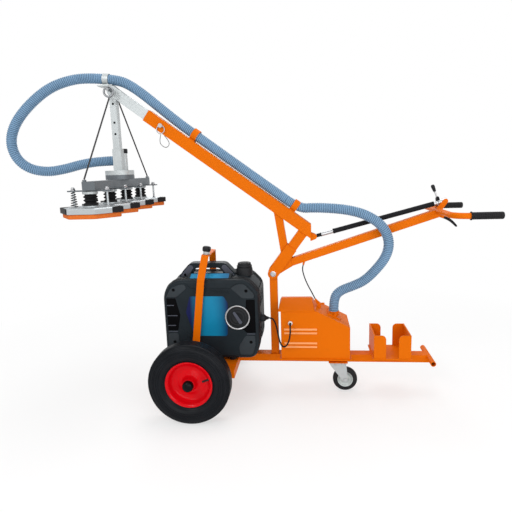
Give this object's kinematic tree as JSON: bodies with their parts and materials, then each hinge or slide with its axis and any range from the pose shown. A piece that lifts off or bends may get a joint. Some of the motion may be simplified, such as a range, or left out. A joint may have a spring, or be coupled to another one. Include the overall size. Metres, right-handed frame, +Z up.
{
  "type": "vacuum tile lifter",
  "caption": "Two-wheeled trolley with swivel caster, pivoting boom and push handle, a hose-fed suction head of hexagonal pads, a blower box and a strapped-on generator.",
  "frame": {"origin": "on the floor, midway between the head's bumpers and the ends of the grips, in the middle plane", "axes": "+X from the suction head to the hand grips, +Y across to the operator's right, +Z up"},
  "size_m": [2.3506, 0.902, 1.7076],
  "materials": {
    "orange_paint": "satin powder coat",
    "red_paint": "gloss",
    "tyre_rubber": "matt",
    "caster_rubber": "matt",
    "zinc_steel": "zinc plated",
    "bright_steel": "polished",
    "black_metal": "satin black",
    "blower_alloy": "cast",
    "black_plastic": "grained",
    "engine_alloy": "cast",
    "grip_rubber": "ribbed",
    "pad_alloy": "brushed",
    "seal_foam": "foam",
    "hose_plastic": "ribbed",
    "cord_rubber": "matt"
  },
  "bodies": {
    "chassis": {"main_beam": "orange_paint", "axle_frame": "orange_paint", "wheel_bushes": "zinc_steel", "block_holder": "orange_paint", "blower_housing": "orange_paint", "blower_lid": "orange_paint", "blower_motor": "black_metal", "hose_spigot": "orange_paint", "caster_plate": "orange_paint", "generator_case": "black_plastic", "generator_recoil_cover": "black_plastic", "generator_engine": "engine_alloy", "hose_rear": "hose_plastic", "power_cord": "cord_rubber", "cord_fittings": "black_plastic", "release_cable": "cord_rubber"},
    "wheel_left": {"tyre_left": "tyre_rubber", "rim_left": "red_paint"},
    "wheel_right": {"tyre_right": "tyre_rubber", "rim_right": "red_paint"},
    "caster_swivel": {"caster_fork": "zinc_steel"},
    "caster_wheel": {"caster_wheel": "caster_rubber"},
    "impeller": {"blower_impeller": "blower_alloy"},
    "valve_arm": {"valve_arm": "zinc_steel"},
    "fuel_cap": {"generator_fuel_cap": "black_plastic"},
    "hoop": {"hold_down_hoop": "orange_paint"},
    "hoop_knob": {"hold_down_knob": "black_plastic"},
    "boom": {"boom": "orange_paint", "pivot_bolt": "bright_steel", "boom_extension": "zinc_steel", "hose_clips": "orange_paint", "hose_boom": "hose_plastic", "pin_lanyard": "cord_rubber"},
    "locking_pin": {"locking_pin": "bright_steel"},
    "handle": {"handle_bar": "orange_paint", "handle_grips": "grip_rubber"},
    "vacuum_lever": {"vacuum_lever": "black_metal"},
    "strut": {"strut_cylinder": "black_metal"},
    "strut_rod": {"strut_rod": "bright_steel"},
    "strut_lever": {"strut_lever": "black_metal"},
    "mast": {"mast_tube": "zinc_steel", "mast_sleeve": "zinc_steel", "mast_pivot_pin": "bright_steel", "hose_front": "hose_plastic", "stabiliser_ropes": "cord_rubber"},
    "head": {"crossbeam": "zinc_steel", "bellows": "grip_rubber", "pad_springs": "black_metal"},
    "pad_1": {"pad_plate_1": "pad_alloy", "pad_seal_1": "seal_foam", "pad_bumpers_1": "grip_rubber"},
    "pad_2": {"pad_plate_2": "pad_alloy", "pad_seal_2": "seal_foam", "pad_bumpers_2": "grip_rubber"},
    "pad_3": {"pad_plate_3": "pad_alloy", "pad_seal_3": "seal_foam", "pad_bumpers_3": "grip_rubber"},
    "pad_4": {"pad_plate_4": "pad_alloy", "pad_seal_4": "seal_foam", "pad_bumpers_4": "grip_rubber"}
  },
  "joints": [
    {"name": "wheel_left_roll", "type": "hinge", "parent": "chassis", "child": "wheel_left", "pos_m": [-0.4225, -0.367, 0.2], "axis": [0, 1, 0], "continuous": true},
    {"name": "wheel_right_roll", "type": "hinge", "parent": "chassis", "child": "wheel_right", "pos_m": [-0.4225, 0.367, 0.2], "axis": [0, 1, 0], "continuous": true},
    {"name": "caster_turn", "type": "hinge", "parent": "chassis", "child": "caster_swivel", "pos_m": [0.3015, 0, 0.16], "axis": [0, 0, 1], "continuous": true},
    {"name": "caster_roll", "type": "hinge", "parent": "caster_swivel", "child": "caster_wheel", "pos_m": [0.3395, 0, 0.065], "axis": [0, 1, 0], "continuous": true},
    {"name": "impeller_spin", "type": "hinge", "parent": "chassis", "child": "impeller", "pos_m": [0.0975, 0, 0.38], "axis": [0, 0, 1], "continuous": true},
    {"name": "fuel_cap_twist", "type": "hinge", "parent": "chassis", "child": "fuel_cap", "pos_m": [-0.1885, 0, 0.7], "axis": [0, 0, 1], "range_deg": [0, 120]},
    {"name": "hoop_swing", "type": "hinge", "parent": "chassis", "child": "hoop", "pos_m": [-0.4425, 0, 0.238], "axis": [0, -1, 0], "range_deg": [0, 35]},
    {"name": "hoop_knob_turn", "type": "hinge", "parent": "hoop", "child": "hoop_knob", "pos_m": [-0.37718, -0.065, 0.77001], "axis": [0.1219, 0, 0.9925], "continuous": true},
    {"name": "boom_lift", "type": "hinge", "parent": "chassis", "child": "boom", "pos_m": [-0.0345, 0, 0.654], "axis": [0, 1, 0], "range_deg": [-52, 10], "deforming": ["hose_rear", "release_cable"]},
    {"name": "handle_tilt", "type": "hinge", "parent": "boom", "child": "handle", "pos_m": [-0.0345, 0, 0.654], "axis": [0, -1, 0], "range_deg": [-8, 6], "deforming": ["release_cable"]},
    {"name": "strut_turn", "type": "hinge", "parent": "handle", "child": "strut", "pos_m": [0.8275, 0, 1.01202], "axis": [0, -1, 0], "range_deg": [-5, 8]},
    {"name": "strut_slide", "type": "slide", "parent": "strut", "child": "strut_rod", "axis": [0.9682, 0, 0.2503], "range_m": [-0.032, 0.018]},
    {"name": "strut_release", "type": "hinge", "parent": "strut", "child": "strut_lever", "pos_m": [0.79128, 0, 1.02744], "axis": [0, 1, 0], "range_deg": [0, 12], "stiffness_Nm_per_rad": 2},
    {"name": "vacuum_lever_pull", "type": "hinge", "parent": "handle", "child": "vacuum_lever", "pos_m": [0.8175, 0, 0.93602], "axis": [0, -1, 0], "range_deg": [0, 20], "stiffness_Nm_per_rad": 2},
    {"name": "valve_turn", "type": "hinge", "parent": "chassis", "child": "valve_arm", "pos_m": [0.2025, 0, 0.484], "axis": [0, 1, 0], "range_deg": [0, 20], "deforming": ["release_cable"]},
    {"name": "locking_pin_pull", "type": "slide", "parent": "boom", "child": "locking_pin", "axis": [0, -1, 0], "range_m": [0, 0.07], "deforming": ["pin_lanyard"]},
    {"name": "mast_swing", "type": "hinge", "parent": "boom", "child": "mast", "pos_m": [-0.8325, 0, 1.61147], "axis": [0, 1, 0], "range_deg": [-18, 60], "deforming": ["hose_front"]},
    {"name": "head_turn", "type": "hinge", "parent": "mast", "child": "head", "pos_m": [-0.8325, 0, 1.19], "axis": [0, 0, 1], "range_deg": [-45, 45], "deforming": ["stabiliser_ropes"]},
    {"name": "pad_1_press", "type": "slide", "parent": "head", "child": "pad_1", "axis": [0, 0, 1], "range_m": [0, 0.015], "stiffness_N_per_m": 2000, "springref_m": -0.012, "deforming": ["bellows", "pad_springs"]},
    {"name": "pad_2_press", "type": "slide", "parent": "head", "child": "pad_2", "axis": [0, 0, 1], "range_m": [0, 0.015], "stiffness_N_per_m": 2000, "springref_m": -0.012, "deforming": ["bellows", "pad_springs"]},
    {"name": "pad_3_press", "type": "slide", "parent": "head", "child": "pad_3", "axis": [0, 0, 1], "range_m": [0, 0.015], "stiffness_N_per_m": 2000, "springref_m": -0.012, "deforming": ["bellows", "pad_springs"]},
    {"name": "pad_4_press", "type": "slide", "parent": "head", "child": "pad_4", "axis": [0, 0, 1], "range_m": [0, 0.015], "stiffness_N_per_m": 2000, "springref_m": -0.012, "deforming": ["bellows", "pad_springs"]}
  ],
  "couplings": [
    {"joint": "strut_turn", "follows": "handle_tilt", "ratio": 0.37509},
    {"joint": "strut_slide", "follows": "handle_tilt", "m_per_rad": 0.1392},
    {"joint": "valve_turn", "follows": "vacuum_lever_pull", "ratio": 1}
  ]
}
